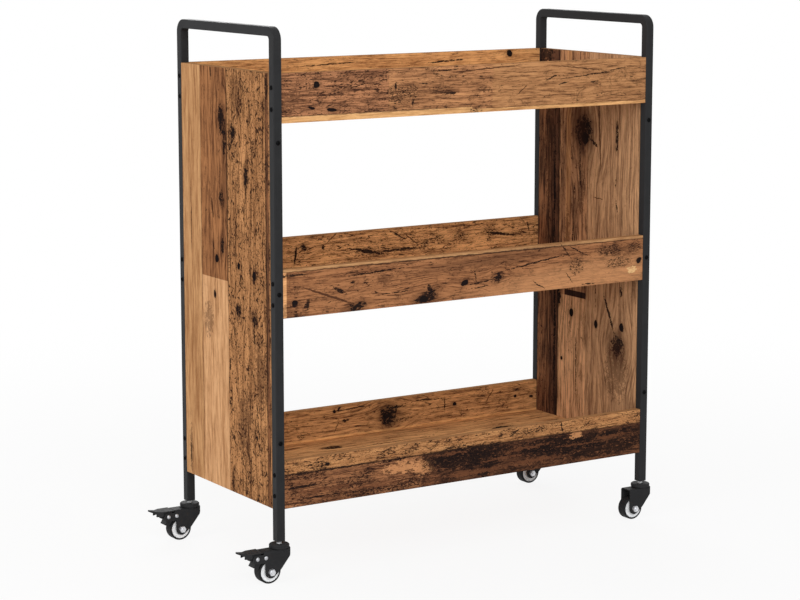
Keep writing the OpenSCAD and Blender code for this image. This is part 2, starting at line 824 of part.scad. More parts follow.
translate(cart_shift) {
    left_frame();
    right_frame();
    side_panel(-1);  // left_side_panel
    side_panel(1);  // right_side_panel
    shelf(2);  // top_shelf
    shelf(1);  // middle_shelf
    shelf(0);  // bottom_shelf
    rail(2, -1);  // top_front_rail
    rail(2, 1);  // top_back_rail
    rail(1, -1);  // middle_front_rail
    rail(1, 1);  // middle_back_rail
    rail(0, -1);  // bottom_front_rail
    rail(0, 1);  // bottom_back_rail
    rail_screws();
    panel_screws();
    dowels();
    cam_bolts();
    cam_locks();
    leg_plugs();
    plug_bushes();
    bearing_balls();
    front_left() stem();  // front_left_stem
    front_left() bearing_cap();  // front_left_bearing_cap
    front_left() fork(true);  // front_left_fork
    front_left() axle_bolt();  // front_left_axle_bolt
    front_left() axle_nut();  // front_left_axle_nut
    front_left() wheel_core();  // front_left_wheel_core
    front_left() tyre();  // front_left_tyre
    front_left() pedal();  // front_left_pedal
    front_left() brake_shoe();  // front_left_brake_shoe
    front_left() brake_pin(pedal_pin_s);  // front_left_pedal_pin
    front_left() brake_pin(shoe_pin_s);  // front_left_shoe_pin
    back_left() stem();  // back_left_stem
    back_left() bearing_cap();  // back_left_bearing_cap
    back_left() fork(true);  // back_left_fork
    back_left() axle_bolt();  // back_left_axle_bolt
    back_left() axle_nut();  // back_left_axle_nut
    back_left() wheel_core();  // back_left_wheel_core
    back_left() tyre();  // back_left_tyre
    back_left() pedal();  // back_left_pedal
    back_left() brake_shoe();  // back_left_brake_shoe
    back_left() brake_pin(pedal_pin_s);  // back_left_pedal_pin
    back_left() brake_pin(shoe_pin_s);  // back_left_shoe_pin
    front_right() stem();  // front_right_stem
    front_right() bearing_cap();  // front_right_bearing_cap
    front_right() fork(false);  // front_right_fork
    front_right() axle_bolt();  // front_right_axle_bolt
    front_right() axle_nut();  // front_right_axle_nut
    front_right() wheel_core();  // front_right_wheel_core
    front_right() tyre();  // front_right_tyre
    back_right() stem();  // back_right_stem
    back_right() bearing_cap();  // back_right_bearing_cap
    back_right() fork(false);  // back_right_fork
    back_right() axle_bolt();  // back_right_axle_bolt
    back_right() axle_nut();  // back_right_axle_nut
    back_right() wheel_core();  // back_right_wheel_core
    back_right() tyre();  // back_right_tyre
}
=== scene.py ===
# Looks, light and camera of a kitchen cart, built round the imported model.
# Lengths are in metres. The materials count in millimetres of the same frame.
import math
from collections import namedtuple
from functools import partial

import bpy
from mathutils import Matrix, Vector


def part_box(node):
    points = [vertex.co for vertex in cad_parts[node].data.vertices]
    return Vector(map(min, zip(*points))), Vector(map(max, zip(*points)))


MM = 0.001
AXES = "xyz"
# Most values of a noise lie between these
NOISE_SPAN = (0.3, 0.7)
# The range of a plank that runs over the whole board
EVERYWHERE = (-2000, 2000)
WHITE = (1, 1, 1, 1)

# A noise: the size of its patches along, across and into the board in millimetres, how many
# finer layers it has, how strong these are, and how much it is bent
Pattern = namedtuple("Pattern", "size detail roughness bent", defaults=(0.0,))
# A smooth step: what comes out goes from to_low to to_high as the value goes from low to high
Step = namedtuple("Step", "low high to_low to_high", defaults=(0.0, 1.0))
# Sockets of a node that mixes: both inputs and the output, for numbers and for colours
MIX_SOCKETS = {"FLOAT": (2, 3, 0), "RGBA": (6, 7, 2)}


def linear(level):
    """One colour channel from 0..255 as seen on screen to linear light."""
    toe, slope, offset, power = 0.04045, 12.92, 0.055, 2.4
    part = level / 255
    return part / slope if part <= toe else ((part + offset) / (1 + offset)) ** power


def colour(red, green, blue):
    return (linear(red), linear(green), linear(blue), 1.0)


def scaled(tone, factor):
    """A lighter or darker copy of a colour."""
    return tuple(min(1.0, factor * part) for part in tone[:3]) + (1.0,)


def round_pattern(size, detail, roughness):
    """Noise whose patches are as long as they are wide."""
    return Pattern((size, size, size), detail, roughness)


class Graph:
    """A material's nodes, added step by step."""

    def __init__(self, name):
        self.material = bpy.data.materials.new(name)
        self.material.use_nodes = True
        self.nodes = self.material.node_tree.nodes
        self.links = self.material.node_tree.links
        self.nodes.clear()
        self.shader = self.nodes.new("ShaderNodeBsdfPrincipled")
        output = self.nodes.new("ShaderNodeOutputMaterial")
        self.links.new(self.shader.outputs["BSDF"], output.inputs["Surface"])
        place = self.nodes.new("ShaderNodeTexCoord")
        self.place = self.stretch(place.outputs["Object"], (1 / MM, 1 / MM, 1 / MM))
        self.normal = place.outputs["Normal"]

    def put(self, socket, value):
        if isinstance(value, bpy.types.NodeSocket):
            self.links.new(value, socket)
        else:
            socket.default_value = value

    def surface(self, name, value):
        """Sets one of the shader's own inputs."""
        self.put(self.shader.inputs[name], value)

    def math(self, operation, first, second=0.0):
        node = self.nodes.new("ShaderNodeMath")
        node.operation = operation
        self.put(node.inputs[0], first)
        self.put(node.inputs[1], second)
        return node.outputs[0]

    def plus(self, first, second):
        return self.math("ADD", first, second)

    def minus(self, first, second):
        return self.math("SUBTRACT", first, second)

    def times(self, first, second):
        return self.math("MULTIPLY", first, second)

    def vector(self, operation, first, second=(0, 0, 0)):
        node = self.nodes.new("ShaderNodeVectorMath")
        node.operation = operation
        self.put(node.inputs[0], first)
        self.put(node.inputs[1], second)
        return node.outputs["Value" if operation == "LENGTH" else "Vector"]

    def stretch(self, vector, factors):
        return self.vector("MULTIPLY", vector, factors)

    def split(self, vector):
        node = self.nodes.new("ShaderNodeSeparateXYZ")
        self.put(node.inputs[0], vector)
        return dict(zip(AXES, node.outputs))

    def join(self, x, y, z):
        node = self.nodes.new("ShaderNodeCombineXYZ")
        for socket, value in zip(node.inputs, (x, y, z)):
            self.put(socket, value)
        return node.outputs[0]

    def noise(self, vector, pattern, output="Fac"):
        in_patches = self.stretch(vector, tuple(1 / size for size in pattern.size))
        node = self.nodes.new("ShaderNodeTexNoise")
        self.put(node.inputs["Vector"], in_patches)
        node.inputs["Scale"].default_value = 1.0
        node.inputs["Detail"].default_value = pattern.detail
        node.inputs["Roughness"].default_value = pattern.roughness
        node.inputs["Distortion"].default_value = pattern.bent
        return node.outputs[output]

    def step(self, value, low, high, to_low=0.0, to_high=1.0):
        """Smooth step from to_low at low to to_high at high."""
        node = self.nodes.new("ShaderNodeMapRange")
        node.interpolation_type = "SMOOTHSTEP"
        for socket, number in zip(node.inputs, (value, low, high, to_low, to_high)):
            self.put(socket, number)
        return node.outputs[0]

    def band(self, value, low, high, soft):
        """One inside low..high, nought outside, with edges soft on either side."""
        rise = self.step(value, low - soft, low + soft)
        fall = self.step(value, high - soft, high + soft, 1.0, 0.0)
        return self.times(rise, fall)

    def mixer(self, kind, factor, first, second):
        node = self.nodes.new("ShaderNodeMix")
        node.data_type = kind
        first_socket, second_socket, output = MIX_SOCKETS[kind]
        self.put(node.inputs["Factor"], factor)
        self.put(node.inputs[first_socket], first)
        self.put(node.inputs[second_socket], second)
        return node.outputs[output]

    def blend(self, factor, first, second):
        """Numbers, mixed by factor."""
        return self.mixer("FLOAT", factor, first, second)

    def mix(self, factor, first, second):
        """Colours, mixed by factor."""
        return self.mixer("RGBA", factor, first, second)

    def reach(self, vector, middle, size, turn=0.0):
        """Distance from an ellipse's middle, one on its outline. The size is its half sizes."""
        node = self.nodes.new("ShaderNodeMapping")
        node.vector_type = "TEXTURE"
        self.put(node.inputs["Vector"], vector)
        node.inputs["Location"].default_value = (*middle, 0)
        node.inputs["Rotation"].default_value = (0, 0, math.radians(turn))
        node.inputs["Scale"].default_value = (*size, 1)
        return self.vector("LENGTH", node.outputs[0])

    def bump(self, height, distance, strength=1.0):
        node = self.nodes.new("ShaderNodeBump")
        node.inputs["Strength"].default_value = strength
        node.inputs["Distance"].default_value = distance
        self.put(node.inputs["Height"], height)
        self.surface("Normal", node.outputs[0])


# A plank of the printed decor: its range across and along the board, its light and dark tones,
# how strongly it shows dark flecks, fine cracks and dark weathering, and whether its outline is torn
Plank = namedtuple("Plank", "across along light dark flecks cracks weather torn")
# A mark on the decor: a kind, its middle along and across the board, half sizes and turn in degrees
Mark = namedtuple("Mark", "kind at size turn", defaults=(0,))
# A dark seam between planks: its place across, its range along, its half width and its strength
Seam = namedtuple("Seam", "across along width strength")
# How a kind of mark looks: tint, strength, the fall-off of its edge, its blur, whether its outline
# is torn, the pattern that eats it away if any, and the strength of the brown halo round it
Look = namedtuple("Look", "tint strength soft blur torn eaten_by halo", defaults=(True, "grit", 0.0))
# The grain of a board: the axes that it runs along and across, the length and width of its flecks,
# and the width of its lines
Grain = namedtuple("Grain", "along across fleck line")
Board = namedtuple("Board", "grain planks marks seams")
# The patterns that the decor is made of, and the tones and wear that the planks give each place
Noises = namedtuple("Noises", "fine lines broad mottle grit pits specks veins")
Wear = namedtuple("Wear", "light dark flecks cracks weather")

PANEL = Grain(along="z", across="y", fleck=(7, 6), line=4.5)
RAIL = Grain(along="x", across="z", fleck=(9, 3.6), line=2.1)
SHELF = Grain(along="x", across="y", fleck=(14, 7), line=4.5)

NEAR_BLACK = colour(19, 9, 5)
SOFT_BROWN = colour(62, 34, 19)
FLECK_BROWN = colour(48, 26, 14)
CRACK_BROWN = colour(32, 17, 9)
WORN_TAN = colour(196, 137, 90)
RUBBED_BROWN = colour(108, 66, 41)
PALE_TAN = colour(226, 186, 130)
BLEACHED_TAN = colour(226, 164, 112)
EDGE_LIGHT = colour(178, 134, 90)
EDGE_DARK = colour(146, 101, 63)

MARK_LOOKS = {
    "hole": Look(NEAR_BLACK, 1.0, soft=0.35, blur=0.12, torn=False, eaten_by=None, halo=0.45),
    "knot": Look(NEAR_BLACK, 0.97, soft=0.85, blur=0.06, halo=0.6),
    "cluster": Look(NEAR_BLACK, 0.85, soft=0.9, blur=0.08, eaten_by="specks", halo=0.15),
    "shade": Look(SOFT_BROWN, 0.0, soft=0.9, blur=0.15, eaten_by=None, halo=0.5),
    "stain": Look(SOFT_BROWN, 0.5, soft=0.95, blur=0.12),
    "crack": Look(NEAR_BLACK, 0.95, soft=0.7, blur=0.1, torn=False),
    "scratch": Look(SOFT_BROWN, 0.85, soft=0.6, blur=0.12, torn=False, eaten_by=None),
    "char": Look(NEAR_BLACK, 0.85, soft=0.95, blur=0.05),
    "worn": Look(WORN_TAN, 0.85, soft=0.9, blur=0.05),
    "rub": Look(RUBBED_BROWN, 0.7, soft=0.95, blur=0.07),
    "pale": Look(PALE_TAN, 0.8, soft=0.8, blur=0.08),
    "bleach": Look(BLEACHED_TAN, 0.34, soft=0.9, blur=0.4, eaten_by=None),
}


def plank(light, dark, across=EVERYWHERE, along=EVERYWHERE, flecks=0.3, cracks=0.3, weather=0.0, torn=False):
    return Plank(across, along, colour(*light), colour(*dark), flecks, cracks, weather, torn)


# Each of these makes a mark of its kind, from its middle, its half sizes and its turn
hole = partial(Mark, "hole")
knot = partial(Mark, "knot")
cluster = partial(Mark, "cluster")
shade = partial(Mark, "shade")
stain = partial(Mark, "stain")
crack = partial(Mark, "crack")
scratch = partial(Mark, "scratch")
char = partial(Mark, "char")
worn = partial(Mark, "worn")
rub = partial(Mark, "rub")
pale = partial(Mark, "pale")
bleach = partial(Mark, "bleach")

# The grain sways slowly, by up to this many widths of its lines
SWAY = Pattern((160, 50, 50), detail=2, roughness=0.55)
SWAY_WIDTHS = 5
# It parts round a knot, as far out as the knot's half sizes times these
KNOT_REACH = (2.6, 2.4)
KNOT_NEAR = Step(0.01, 1.99, 1.0, 0.0)
KNOT_PUSH = -0.75


def bend_grain(graph, flat, solid, across, board):
    """Place across the board in the grain, which sways slowly and parts round the knots."""
    sway = graph.noise(solid, SWAY)
    bent = graph.plus(across, graph.times(sway, SWAY_WIDTHS * board.grain.line))
    for mark in board.marks:
        if mark.kind == "knot":
            size = [part * share for part, share in zip(mark.size, KNOT_REACH)]
            near = graph.step(graph.reach(flat, mark.at, size, mark.turn), *KNOT_NEAR)
            offset = graph.minus(across, mark.at[1])
            push = graph.times(graph.times(near, offset), KNOT_PUSH)
            bent = graph.plus(bent, push)
    return bent


# Each layer of strokes: its slant for a square fleck, and how far its noise is moved aside
STROKES = ((0.5, 0.0), (-0.6, 40.0))
STROKE_LENGTH = 1.25
STROKE_WIDTH = 1 / 1.3


def slanted_strokes(graph, solid, length, width):
    """Noise in short strokes of two slants, high where a fleck may lie."""
    wide = STROKE_WIDTH * width
    stroke = Pattern((STROKE_LENGTH * length, wide, wide), detail=1, roughness=0.4, bent=0.9)
    layers = []
    for slant, offset in STROKES:
        node = graph.nodes.new("ShaderNodeMapping")
        graph.put(node.inputs["Vector"], solid)
        node.inputs["Location"].default_value = (offset, offset, 0)
        node.inputs["Rotation"].default_value = (0, 0, slant * width / length)
        layers.append(graph.noise(node.outputs[0], stroke))
    return graph.math("MAXIMUM", *layers)


# Fine grain, streaks and broad tones: lengths in millimetres or in widths of a grain line
FINE_LENGTH_WIDTHS = 14
STREAK_LENGTH = 150
STREAK_WIDTHS = 3
BROAD_LENGTH = 230
BROAD_WIDTHS = 12
SPECKS_IN_FLECK = 2.2
MOTTLE = Pattern((34, 22, 22), detail=5, roughness=0.7)
VEINS = Pattern((42, 22, 22), detail=5, roughness=0.62, bent=0.9)


def decor_noises(graph, grain_place, solid, grain):
    """The patterns of the decor, in the sizes of a board's grain and flecks."""
    line = grain.line
    length, width = grain.fleck
    streak = STREAK_WIDTHS * line
    wide = BROAD_WIDTHS * line
    speck = width / SPECKS_IN_FLECK
    fine = Pattern((FINE_LENGTH_WIDTHS * line, line, line), detail=4, roughness=0.7)
    lines = Pattern((STREAK_LENGTH, streak, streak), detail=3, roughness=0.7, bent=0.4)
    broad = Pattern((BROAD_LENGTH, wide, wide), detail=3, roughness=0.55)
    grit = Pattern((length, width, width), detail=4, roughness=0.75, bent=0.8)
    specks = Pattern((length / SPECKS_IN_FLECK, speck, speck), detail=2, roughness=0.6, bent=0.7)
    return Noises(
        fine=graph.noise(grain_place, fine),
        lines=graph.noise(grain_place, lines),
        broad=graph.noise(grain_place, broad),
        mottle=graph.noise(solid, MOTTLE),
        grit=graph.noise(solid, grit),
        pits=slanted_strokes(graph, solid, length, width),
        specks=graph.noise(solid, specks),
        veins=graph.noise(solid, VEINS),
    )


# How far a plank's edge fades on either side, torn or sawn
TORN_EDGE = 2.0
SAWN_EDGE = 0.6


def lay_planks(graph, planks, sawn_place, torn_place):
    """Tones and wear at each place, from the planks in the order given."""
    first = planks[0]
    light, dark = first.light, first.dark
    flecks, cracks, weather = first.flecks, first.cracks, first.weather
    for item in planks[1:]:
        place = torn_place if item.torn else sawn_place
        soft = TORN_EDGE if item.torn else SAWN_EDGE
        inside = 1.0
        for value, limits in zip(place, (item.along, item.across)):
            if limits != EVERYWHERE:
                inside = graph.times(inside, graph.band(value, *limits, soft))
        light = graph.mix(inside, light, item.light)
        dark = graph.mix(inside, dark, item.dark)
        flecks = graph.blend(inside, flecks, item.flecks)
        cracks = graph.blend(inside, cracks, item.cracks)
        weather = graph.blend(inside, weather, item.weather)
    return Wear(light, dark, flecks, cracks, weather)


FINE_TONE = Step(0.42, 0.57, 0.0, 0.55)
STREAK_TONE = Step(0.4, 0.6, 0.0, 0.37)
BROAD_TONE = Step(0.4, 0.6, 0.0, 0.15)
MOTTLE_TONE = Step(0.42, 0.68, 0.0, 0.3)
# Pores lie in the dark of the fine grain, where the grit and the streaks let them show
PORE_FINE = Step(0.38, 0.46, 1.0, 0.0)
PORE_GRIT = Step(0.38, 0.52)
PORE_STREAK = Step(0.42, 0.6, 0.95, 0.35)
PORE_FLECKS = Step(0.0, 0.3, 0.2, 1.0)


def lay_grain(graph, noises, wear):
    """Grain tone from three scales of streaks, then darker pores along the lines."""
    tone = graph.plus(graph.step(noises.fine, *FINE_TONE), graph.step(noises.lines, *STREAK_TONE))
    tone = graph.plus(tone, graph.step(noises.broad, *BROAD_TONE))
    base = graph.mix(tone, wear.dark, wear.light)
    base = graph.mix(graph.step(noises.mottle, *MOTTLE_TONE), base, wear.dark)
    pores = graph.times(graph.step(noises.fine, *PORE_FINE), graph.step(noises.grit, *PORE_GRIT))
    pores = graph.times(pores, graph.step(noises.lines, *PORE_STREAK))
    pores = graph.times(pores, graph.step(wear.flecks, *PORE_FLECKS))
    return graph.mix(pores, base, FLECK_BROWN)


# Where strokes and specks rise above their limits there is a fleck. The limits fall where the
# mottle is high, so that flecks gather, and where the plank has many flecks.
FLECK_THINNING = 0.13
FLECK_LIMIT = Step(0.35, 0.65, 0.66, 0.57)
FLECK_EDGE = Step(0.0, 0.045)
SPECK_LIMIT = Step(0.0, 1.0, 0.68, 0.54)
SPECK_GATHERING = Step(0.35, 0.6, 0.04, 0.0)
SPECK_EDGE = Step(0.0, 0.05, 0.0, 0.85)
FLECK_STRENGTH = Step(0.0, 0.25, 0.0, 0.95)


def lay_flecks(graph, base, noises, wear):
    """Dark flecks and specks that gather in clusters."""
    thin_out = graph.times(graph.minus(1.0, wear.flecks), FLECK_THINNING)
    limit = graph.plus(thin_out, graph.step(noises.mottle, *FLECK_LIMIT))
    fleck = graph.step(graph.minus(noises.pits, limit), *FLECK_EDGE)
    speck = graph.minus(noises.specks, graph.step(wear.flecks, *SPECK_LIMIT))
    speck = graph.minus(speck, graph.step(noises.mottle, *SPECK_GATHERING))
    fleck = graph.math("MAXIMUM", fleck, graph.step(speck, *SPECK_EDGE))
    fleck = graph.times(fleck, graph.step(wear.flecks, *FLECK_STRENGTH))
    return graph.mix(fleck, base, FLECK_BROWN)


# A crack runs where the veins' noise crosses its middle value
VEIN_MIDDLE = 0.5
VEIN_EDGE = Step(0.006, 0.017, 1.0, 0.0)
VEIN_PATCHES = Step(0.44, 0.56)


def lay_cracks(graph, base, noises, wear):
    """Thin cracks in some patches of the board."""
    distance = graph.math("ABSOLUTE", graph.minus(noises.veins, VEIN_MIDDLE))
    line = graph.step(distance, *VEIN_EDGE)
    line = graph.times(line, graph.step(noises.mottle, *VEIN_PATCHES))
    return graph.mix(graph.times(line, wear.cracks), base, CRACK_BROWN)


# Shares of mottle, grit and fine grain in the weathering, and the limit above which it shows
WEATHER_MOTTLE = 0.3
WEATHER_GRIT = 0.35
WEATHER_FINE = 0.35
WEATHER_LIMIT = 0.66
WEATHER_FALL = 0.2
WEATHER_EDGE = Step(0.0, 0.06)
WEATHER_STRENGTH = 0.88
GLINT_GRIT = Step(0.56, 0.66)
GLINT_WEATHER = Step(0.3, 0.8, 0.0, 0.8)


def lay_weather(graph, base, noises, wear):
    """Dark weathered patches, with pale glints of bare wood in them."""
    patch = graph.plus(graph.times(noises.mottle, WEATHER_MOTTLE),
                       graph.times(noises.grit, WEATHER_GRIT))
    patch = graph.plus(patch, graph.times(noises.fine, WEATHER_FINE))
    limit = graph.minus(WEATHER_LIMIT, graph.times(wear.weather, WEATHER_FALL))
    patch = graph.step(graph.minus(patch, limit), *WEATHER_EDGE)
    base = graph.mix(graph.times(patch, WEATHER_STRENGTH), base, CRACK_BROWN)
    bare = graph.step(noises.grit, *GLINT_GRIT)
    glints = graph.times(bare, graph.step(wear.weather, *GLINT_WEATHER))
    return graph.mix(glints, base, wear.light)


# A halo fades between these distances from a mark's middle, one being its outline
HALO_START = 0.3
HALO_END = 2.2
# A mark covers the places where its mask is above this
MASK_LEVEL = 0.5
GRIT_BITE = Step(0.36, 0.62, 1.6, 0.45)
SPECK_BITE = Step(0.46, 0.58, 0.0, 1.2)


def draw_mark(graph, base, mark, place, eaters):
    """Puts one mark over the base colour."""
    look = MARK_LOOKS[mark.kind]
    reach = graph.reach(place, mark.at, mark.size, mark.turn)
    if look.halo:
        halo = graph.step(reach, HALO_START, HALO_END, look.halo, 0.0)
        base = graph.mix(halo, base, SOFT_BROWN)
    if not look.strength:
        return base
    mask = graph.step(reach, 1 - look.soft, 1 + look.soft, 1.0, 0.0)
    if look.eaten_by:
        mask = graph.times(mask, eaters[look.eaten_by])
    mask = graph.step(mask, MASK_LEVEL - look.blur, MASK_LEVEL + look.blur, 0.0, look.strength)
    return graph.mix(mask, base, look.tint)


def draw_marks(graph, base, marks, noises, ragged, tremble):
    """Listed marks, placed in the order given."""
    eaters = {
        "grit": graph.step(noises.grit, *GRIT_BITE),
        "specks": graph.step(noises.specks, *SPECK_BITE),
    }
    for mark in marks:
        place = ragged if MARK_LOOKS[mark.kind].torn else tremble
        base = draw_mark(graph, base, mark, place, eaters)
    return base


# A seam fades between these distances from its middle line, one being its half width
SEAM_START = 0.5
SEAM_END = 1.5


def draw_seams(graph, base, seams, tremble):
    """Dark seams between planks."""
    for seam in seams:
        start, end = seam.along
        reach = graph.reach(tremble, ((start + end) / 2, seam.across), ((end - start) / 2, seam.width))
        dark = graph.step(reach, SEAM_START, SEAM_END, seam.strength, 0.0)
        base = graph.mix(dark, base, CRACK_BROWN)
    return base


EDGE_FACING = Step(0.35, 0.75, 0.85, 0.0)
EDGE_GRAIN = Step(0.35, 0.7)


def band_edges(graph, base, noises, depth_axis):
    """The narrow faces carry a paler edge band with the same grain."""
    facing = graph.math("ABSOLUTE", graph.split(graph.normal)[depth_axis])
    banded = graph.mix(graph.step(noises.fine, *EDGE_GRAIN), EDGE_LIGHT, EDGE_DARK)
    return graph.mix(graph.step(facing, *EDGE_FACING), base, banded)


# Outlines are shaken by this noise, far where they are torn and a little where they are only worn
SHAKE = Pattern((11, 7, 7), detail=4, roughness=0.65)
NOISE_MIDDLE = (0.5, 0.5, 0.5)
TORN_SHAKE = (22, 16, 0)
WORN_SHAKE = (7, 5, 0)
# A pale bluish haze in the base colour is a painted sheen: it stands in for the glossy reflection that the
# wood's specular, set to nought, does not give, and lifts its darkest places a little
PAINTED_SHEEN_TONE = colour(190, 190, 200)
PAINTED_SHEEN_SHARE = 0.012
WOOD_ROUGHNESS = Step(*NOISE_SPAN, 0.6, 0.75)
# The relief is made of a share of both grain patterns, less the pits
GRAIN_IN_RELIEF = 0.5
WOOD_RELIEF = 0.25 * MM
WOOD_RELIEF_STRENGTH = 0.5


def wood(name, board):
    """Reclaimed-look board decor: planks with grain, flecks, cracks, knots and holes."""
    graph = Graph(name)
    grain = board.grain
    axes = graph.split(graph.place)
    depth_axis = next(axis for axis in AXES if axis not in (grain.along, grain.across))
    along, across, depth = axes[grain.along], axes[grain.across], axes[depth_axis]
    flat = graph.join(along, across, 0.0)
    solid = graph.join(along, across, depth)

    shake = graph.vector("SUBTRACT", graph.noise(solid, SHAKE, output="Color"), NOISE_MIDDLE)
    ragged = graph.vector("ADD", flat, graph.stretch(shake, TORN_SHAKE))
    tremble = graph.vector("ADD", flat, graph.stretch(shake, WORN_SHAKE))
    torn = graph.split(ragged)

    grain_place = graph.join(along, bend_grain(graph, flat, solid, across, board), depth)
    noises = decor_noises(graph, grain_place, solid, grain)
    wear = lay_planks(graph, board.planks, (along, across), (torn["x"], torn["y"]))
    base = lay_grain(graph, noises, wear)
    base = lay_flecks(graph, base, noises, wear)
    base = lay_cracks(graph, base, noises, wear)
    base = lay_weather(graph, base, noises, wear)
    base = draw_marks(graph, base, board.marks, noises, ragged, tremble)
    base = draw_seams(graph, base, board.seams, tremble)
    base = band_edges(graph, base, noises, depth_axis)

    # Painted sheen: a little pale haze is mixed into the base colour in place of gloss
    graph.surface("Base Color", graph.mix(PAINTED_SHEEN_SHARE, base, PAINTED_SHEEN_TONE))
    graph.surface("Roughness", graph.step(noises.mottle, *WOOD_ROUGHNESS))
    graph.surface("Specular IOR Level", 0.0)
    height = graph.times(graph.plus(noises.fine, noises.lines), GRAIN_IN_RELIEF)
    graph.bump(graph.minus(height, noises.pits), WOOD_RELIEF, WOOD_RELIEF_STRENGTH)
    return graph.material


COAT_CLOUD = round_pattern(24, detail=4, roughness=0.6)
COAT_SHADED = 0.85
COAT_RUBBED = 1.35
COAT_CLOUD_TONE = Step(0.35, 0.7)
COAT_RUB = Step(0.6, 0.8, 0.0, 0.5)
COAT_ROUGHNESS_SWING = 0.06


def coated(name, tone, peel_size, roughness, relief, gloss=0.2):
    """Painted, powder-coated or moulded surface with a fine orange peel and rubbed places."""
    graph = Graph(name)
    peel = graph.noise(graph.place, round_pattern(peel_size, detail=3, roughness=0.6))
    cloud = graph.noise(graph.place, COAT_CLOUD)
    base = graph.mix(graph.step(cloud, *COAT_CLOUD_TONE), scaled(tone, COAT_SHADED), tone)
    base = graph.mix(graph.step(peel, *COAT_RUB), base, scaled(tone, COAT_RUBBED))
    smooth, dull = roughness - COAT_ROUGHNESS_SWING, roughness + COAT_ROUGHNESS_SWING
    graph.surface("Base Color", base)
    graph.surface("Roughness", graph.step(cloud, *NOISE_SPAN, smooth, dull))
    graph.surface("Specular IOR Level", gloss)
    graph.bump(peel, relief)
    return graph.material


TARNISH = round_pattern(4, detail=4, roughness=0.6)
BRUSHING = round_pattern(0.4, detail=2, roughness=0.5)
TARNISH_TONE = Step(0.4, 0.75)
TARNISH_SHADE = 0.72
TARNISH_ROUGHENING = 0.15
BRUSHING_RELIEF = 0.02 * MM
THREAD_RELIEF = 0.3 * MM


def plated(name, tone, roughness, pitch=0.0, metal=0.8):
    """Zinc plate with faint tarnish, and thread rings up the axis where pitch isn't nought."""
    graph = Graph(name)
    tarnish = graph.noise(graph.place, TARNISH)
    dull = scaled(tone, TARNISH_SHADE)
    graph.surface("Base Color", graph.mix(graph.step(tarnish, *TARNISH_TONE), tone, dull))
    graph.surface("Metallic", metal)
    graph.surface("Roughness", graph.step(tarnish, *NOISE_SPAN, roughness, roughness + TARNISH_ROUGHENING))
    if pitch:
        height = graph.split(graph.place)["z"]
        rings = graph.math("SINE", graph.times(height, 2 * math.pi / pitch))
        graph.bump(rings, THREAD_RELIEF)
    else:
        graph.bump(graph.noise(graph.place, BRUSHING), BRUSHING_RELIEF)
    return graph.material


CORE_WHITE = colour(244, 245, 246)
CORE_SHADE = colour(233, 235, 237)
CORE_CLOUD = round_pattern(6, detail=3, roughness=0.6)
CORE_GRAIN = round_pattern(0.8, detail=2, roughness=0.5)
CORE_RELIEF = 0.03 * MM
CORE_ROUGHNESS = Step(*NOISE_SPAN, 0.3, 0.42)
RUBBER_BLACK = colour(32, 32, 33)
RUBBER_ROUGHNESS = 0.6
# The tread's lip covers the side of the core beyond this distance from the axle
LIP_RADIUS = 16.5
LIP_EDGE = 0.15
ACROSS_AXLE = (1, 0, 1)


def wheel_white(name, centre):
    """Pale plastic of a wheel core, with the tread's dark lip round its rim."""
    graph = Graph(name)
    cloud = graph.noise(graph.place, CORE_CLOUD)
    tone = graph.mix(graph.step(cloud, *COAT_CLOUD_TONE), CORE_WHITE, CORE_SHADE)
    offset = graph.vector("SUBTRACT", graph.place, [value / MM for value in centre])
    from_axle = graph.vector("LENGTH", graph.stretch(offset, ACROSS_AXLE))
    lip = graph.step(from_axle, LIP_RADIUS - LIP_EDGE, LIP_RADIUS + LIP_EDGE)
    graph.surface("Base Color", graph.mix(lip, tone, RUBBER_BLACK))
    graph.surface("Roughness", graph.blend(lip, graph.step(cloud, *CORE_ROUGHNESS), RUBBER_ROUGHNESS))
    graph.bump(graph.noise(graph.place, CORE_GRAIN), CORE_RELIEF)
    return graph.material


def left_panel_decor():
    """Left panel: a tan plank at the back, a dark one over a light one, then a speckled one."""
    planks = [
        plank(light=(196, 140, 91), dark=(136, 91, 55), flecks=0.85, cracks=0.5, weather=0.12),
        plank(across=(83.6, 160), light=(202, 153, 105), dark=(159, 110, 69), flecks=0.03, cracks=0.1),
        plank(across=(-5.6, 83.6), along=(467, 900), light=(172, 117, 74), dark=(98, 59, 35),
              flecks=0.15, cracks=0.35),
        plank(across=(-5.6, 83.6), along=(0, 467), light=(219, 168, 121), dark=(176, 126, 83),
              flecks=0.05, cracks=0.1),
        plank(across=(-142, -133), light=(144, 94, 60), dark=(65, 42, 28),
              flecks=0.5, cracks=0.6, weather=0.4),
    ]
    marks = [
        knot((729, 12), (22, 9)), knot((700, 3), (30, 5)),
        knot((600, 14), (12, 8)), hole((500, 32), (6.8, 6)),
        knot((522, 12), (12, 6)), crack((520, 42), (7, 1.5), turn=30),
        crack((800, 46), (13, 2), turn=8), scratch((583, 45), (17, 3), turn=10),
        stain((770, -35), (40, 14)), knot((712, -26), (12, 9)),
        crack((690, -20), (10, 2.5), turn=-35), knot((644, -67), (16, 7)),
        crack((618, -67), (14, 1.2)), hole((497, -42), (6, 5.1)),
        hole((487, -93), (7.6, 6)), knot((422, -40), (10, 7)),
        knot((416, -91), (12, 7)), crack((385, -92), (16, 2), turn=8),
        crack((330, -10), (9, 2.5)), crack((255, -101), (30, 1.2), turn=6),
        stain((240, -60), (50, 26)), crack((226, -95), (8, 3), turn=30),
        hole((440, 40), (6, 3.8)), stain((395, 62), (26, 14)),
        stain((163, 131), (42, 5)), crack((158, 131), (20, 1.5)),
        crack((790, -137), (26, 2.5)), stain((330, -110), (60, 18)),
        scratch((560, 120), (60, 1.2)),
    ]
    seams = [
        Seam(across=83.6, along=(100, 830), width=1.2, strength=0.5),
        Seam(across=-5.6, along=(440, 830), width=2.2, strength=0.75),
        Seam(across=-5.6, along=(100, 440), width=0.8, strength=0.35),
        Seam(across=-133, along=(100, 830), width=2.0, strength=0.75),
    ]
    return Board(PANEL, planks, marks, seams)


